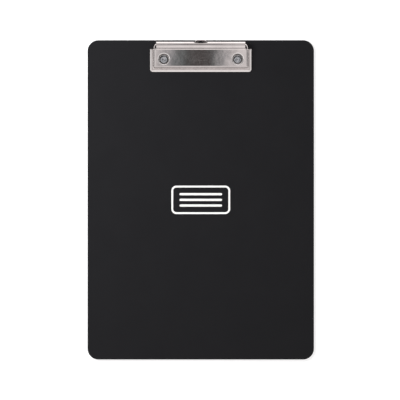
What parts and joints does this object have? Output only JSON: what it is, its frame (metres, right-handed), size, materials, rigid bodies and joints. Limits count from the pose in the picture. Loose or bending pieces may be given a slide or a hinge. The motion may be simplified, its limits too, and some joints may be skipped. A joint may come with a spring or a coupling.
{
  "type": "clipboard",
  "caption": "A4 clipboard: flat black plastic board with a low, wide nickel-plated spring clip and a hanging hook that slides out past its top edge.",
  "frame": {"origin": "centre of the board's flat back face", "axes": "+X to the right and +Y towards the clip as one writes on it, +Z out of the writing face"},
  "size_m": [0.2232, 0.3154, 0.0107],
  "materials": {
    "board_plastic": "fine-grained satin black moulded plastic",
    "plated_steel": "nickel-plated pressed steel, bright with a very fine brushing",
    "rivet_steel": "nickel-plated rivet steel, turned finish",
    "spring_steel": "drawn spring wire, lightly oiled",
    "white_print": "white screen-printed ink"
  },
  "bodies": {
    "board_and_base": {"board": "board_plastic", "clip_base": "plated_steel", "hinge_pin": "plated_steel", "rivet_left": "rivet_steel", "rivet_right": "rivet_steel", "rivet_washer_left": "rivet_steel", "rivet_washer_right": "rivet_steel", "torsion_spring_left": "spring_steel", "torsion_spring_right": "spring_steel"},
    "jaw": {"clip_jaw": "plated_steel"},
    "hook": {"hanging_hook": "plated_steel"}
  },
  "joints": [
    {"name": "jaw_hinge", "type": "hinge", "parent": "board_and_base", "child": "jaw", "pos_m": [0, 0.1474, 0.0055], "axis": [-1, 0, 0], "range_deg": [0, 36], "stiffness_Nm_per_rad": 0.25, "springref_deg": -45.84, "deforming": ["torsion_spring_left", "torsion_spring_right"]},
    {"name": "hook_slide", "type": "slide", "parent": "board_and_base", "child": "hook", "axis": [0, 1, 0], "range_m": [0, 0.0105]}
  ]
}
